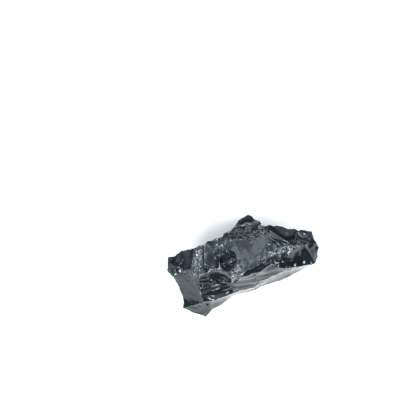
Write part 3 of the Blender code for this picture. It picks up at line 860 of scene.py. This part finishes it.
def obsidian(name):
    """Obsidian, the glass of a lava flow, as it breaks: with glossy, unworked fracture faces.

    It looks near black with faint smoky clouds, and grey green where it is thin, which is painted light
    showing through the thin glass. The reflections are clear and slightly cool, with hazy spots. Sharp
    ridges and crumbled patches are pale grey, as ground glass is, with painted highlight lines along the
    ridges and painted sparkles in the patches.
    """
    material = bpy.data.materials.new(name)
    material.use_nodes = True
    shader = material.node_tree.nodes["Principled BSDF"]
    links = material.node_tree.links
    place = add(material, "ShaderNodeTexCoord").outputs["Object"]
    thin, ridge, crushed_and_sparkle = (
        add(material, "ShaderNodeAttribute", {"attribute_name": layer}).outputs["Fac"]
        for layer in ("thin", "ridge", "crushed_and_sparkle"))
    smoke, haze, grit, sparkle_powder = (
        add(material, "ShaderNodeTexNoise",
            {"Scale": 1 / (width * MM), "Detail": detail, "Roughness": rough},
            {"Vector": place}).outputs["Fac"]
        for width, detail, rough in (SMOKE, HAZE, GRIT, SPARKLE_POWDER))

    tint = add(material, "ShaderNodeValToRGB", links={"Fac": smoke})
    for element, position, code in zip(tint.color_ramp.elements, SMOKE_LEVELS, THICK_GLASS):
        element.position = position
        element.color = colour(code)
    # Painted light showing through the glass, lighter and greener where it is thin
    glass = add(material, "ShaderNodeMix", {"data_type": "RGBA", MIX_B: colour(THIN_GLASS_GLOW)},
                {"Factor": thin, MIX_A: tint.outputs["Color"]})
    # Ridge lines and patch specks: ground glass with painted highlights and sparkles
    line, speck = (
        add(material, "ShaderNodeMapRange", {"From Min": low, "From Max": high}, {"Value": value})
        for value, (low, high) in ((ridge, LINE_LEVELS), (sparkle_powder, SPARKLE_POWDER_LEVELS)))
    powder_and_sparkle = add(material, "ShaderNodeMath", {"operation": "MULTIPLY"},
               {0: crushed_and_sparkle, 1: speck.outputs["Result"]})
    white = add(material, "ShaderNodeMath", {"operation": "MAXIMUM"},
                {0: powder_and_sparkle.outputs[0], 1: line.outputs["Result"]})
    # The pale grey of ground glass, with painted highlights and sparkles, over the dark glass
    crush_and_highlight = add(material, "ShaderNodeMix", {"data_type": "RGBA", MIX_B: colour(CRUSHED_AND_GLINT_GREY)},
                {"Factor": white.outputs[0], MIX_A: glass.outputs[MIX_RESULT]})
    links.new(crush_and_highlight.outputs[MIX_RESULT], shader.inputs["Base Color"])

    (low, high), (gloss, matt) = HAZE_LEVELS, GLASS_ROUGHNESS
    rough = add(material, "ShaderNodeMapRange",
                {"From Min": low, "From Max": high, "To Min": gloss, "To Max": matt}, {"Value": haze})
    links.new(rough.outputs["Result"], shader.inputs["Roughness"])
    shader.inputs["IOR"].default_value = GLASS_IOR
    shader.inputs["Specular Tint"].default_value = colour(GLOSS_TINT)
    bump = add(material, "ShaderNodeBump", {"Strength": GRIT_STRENGTH, "Distance": GRIT_DEPTH * MM},
               {"Height": grit})
    links.new(bump.outputs["Normal"], shader.inputs["Normal"])
    return material


def make_chunk():
    """The chunk, struck, knocked and crumbled."""
    block = make_block("chunk")
    strike(block, [make_cutter(scar) for scar in SCARS + BACK_SCARS])
    strike(block, [make_chip(number, chip) for number, chip in enumerate(CHIPS)])
    ridges = ridge_spots(block)
    rng = random.Random(SEED)
    for nibble in NIBBLES:
        gouge(block, ridge_lumps(ridges, rng, nibble))
    gouge(block, crumb_lumps(block, rng))
    settle(block)
    block.data.materials.append(obsidian("obsidian"))
    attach(block, "root")
    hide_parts("obsidian_chunk")


def make_floor():
    """A wide sheet of matt, warm white paper under the chunk."""
    bm = bmesh.new()
    bmesh.ops.create_grid(bm, x_segments=1, y_segments=1, size=FLOOR_REACH)
    bmesh.ops.translate(bm, verts=bm.verts, vec=(0, 0, CAD_LOW.z))
    floor = link("floor", bm)
    paper = bpy.data.materials.new("floor_paper")
    paper.use_nodes = True
    shader = paper.node_tree.nodes["Principled BSDF"]
    shader.inputs["Base Color"].default_value = colour(FLOOR_TINT)
    shader.inputs["Roughness"].default_value = FLOOR_ROUGHNESS
    floor.data.materials.append(paper)


def make_studio():
    """A pale dome, bright overhead and dim at the horizon, and four soft windows for the glints."""
    world = bpy.data.worlds.new("studio")
    bpy.context.scene.world = world
    world.use_nodes = True
    look = add(world, "ShaderNodeTexCoord")
    height = add(world, "ShaderNodeSeparateXYZ", links={0: look.outputs["Generated"]})
    ramp = add(world, "ShaderNodeValToRGB", links={"Fac": height.outputs["Z"]})
    steps = ramp.color_ramp.elements
    while len(steps) < len(DOME):
        steps.new(1.0)
    for step, (position, light) in zip(steps, DOME):
        step.position = position
        step.color = (*light, 1.0)
    world.node_tree.links.new(ramp.outputs["Color"], world.node_tree.nodes["Background"].inputs["Color"])
    for name, (place, width, watts) in WINDOWS.items():
        light = bpy.data.lights.new(name, "AREA")
        light.size = width
        light.energy = watts
        window = bpy.data.objects.new(name, light)
        window.location = place
        window.rotation_euler = (Vector(WINDOW_AIM) - window.location).to_track_quat("-Z", "Y").to_euler()
        bpy.context.scene.collection.objects.link(window)
    bpy.context.scene.view_settings.view_transform = "Standard"


def make_camera():
    """A camera that looks straight down on the chunk."""
    middle = (CAD_LOW + CAD_HIGH) / 2
    sideways = FRAME_WIDTH / 2 - CHUNK_MIDDLE_IN_FRAME[0]
    upwards = CHUNK_MIDDLE_IN_FRAME[1] - FRAME_WIDTH / 2
    scale = MM_PER_PIXEL * MM
    data = bpy.data.cameras.new("camera")
    data.sensor_width = SENSOR_WIDTH
    data.lens = SENSOR_WIDTH * (CAMERA_HEIGHT - middle.z) / (FRAME_WIDTH * scale)
    camera = bpy.data.objects.new("camera", data)
    camera.location = (middle.x + sideways * scale, middle.y + upwards * scale, CAMERA_HEIGHT)
    bpy.context.scene.collection.objects.link(camera)
    bpy.context.scene.camera = camera


make_chunk()
make_floor()
make_studio()
make_camera()
